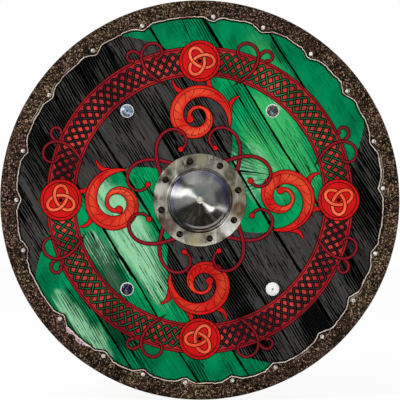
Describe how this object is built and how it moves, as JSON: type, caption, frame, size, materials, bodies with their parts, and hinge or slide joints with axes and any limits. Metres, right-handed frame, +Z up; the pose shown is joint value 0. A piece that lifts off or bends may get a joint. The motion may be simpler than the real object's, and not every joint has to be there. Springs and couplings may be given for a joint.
{
  "type": "round shield",
  "caption": "Round plank shield with a domed steel boss, a riveted hide rim, a hand grip and a buckled arm strap behind.",
  "frame": {"origin": "middle of the board's back face, where the forearm lies", "axes": "-Y out of the painted front, +Y towards the bearer, +Z up, +X to the right as seen from the front"},
  "size_m": [0.61, 0.1618, 0.6099],
  "materials": {
    "painted_wood": "weathered paint on wood",
    "bare_wood": "oiled",
    "hide": "rawhide, rough and dark",
    "strap_leather": "waxed",
    "sleeve_leather": "waxed",
    "boss_steel": "polished and smudged",
    "dark_iron": "blackened",
    "rim_rivet_steel": "dull",
    "bolt_chrome": "bright",
    "plated_steel": "zinc plated",
    "buckle_steel": "worn"
  },
  "bodies": {
    "shield": {"plank_1": "painted_wood", "plank_2": "painted_wood", "plank_3": "painted_wood", "plank_4": "painted_wood", "plank_5": "painted_wood", "plank_6": "painted_wood", "plank_7": "painted_wood", "plank_8": "painted_wood", "batten_upper": "bare_wood", "batten_lower": "bare_wood", "batten_screws": "plated_steel", "rim_hide": "hide", "rim_rivets": "rim_rivet_steel", "boss": "boss_steel", "boss_rivets": "dark_iron", "boss_roves": "dark_iron", "strap_bolts": "bolt_chrome", "strap_washers": "plated_steel", "strap_nuts": "plated_steel", "arm_strap_chape": "strap_leather", "arm_strap_billet": "strap_leather", "strap_keeper": "strap_leather", "grip_strap": "strap_leather", "grip_sleeve": "sleeve_leather"},
    "buckle": {"buckle_frame": "buckle_steel"},
    "roller": {"buckle_roller": "buckle_steel"},
    "tongue": {"buckle_tongue": "buckle_steel"}
  },
  "joints": [
    {"name": "buckle_tilt", "type": "hinge", "parent": "shield", "child": "buckle", "pos_m": [0, 0.09152, -0.136], "axis": [0, 0, 1], "range_deg": [0, 25]},
    {"name": "tongue_lift", "type": "hinge", "parent": "buckle", "child": "tongue", "pos_m": [0, 0.09152, -0.136], "axis": [0, 0, 1], "range_deg": [0, 45]},
    {"name": "roller_spin", "type": "hinge", "parent": "buckle", "child": "roller", "pos_m": [0.028, 0.0965, -0.136], "axis": [0, 0, 1], "continuous": true}
  ]
}
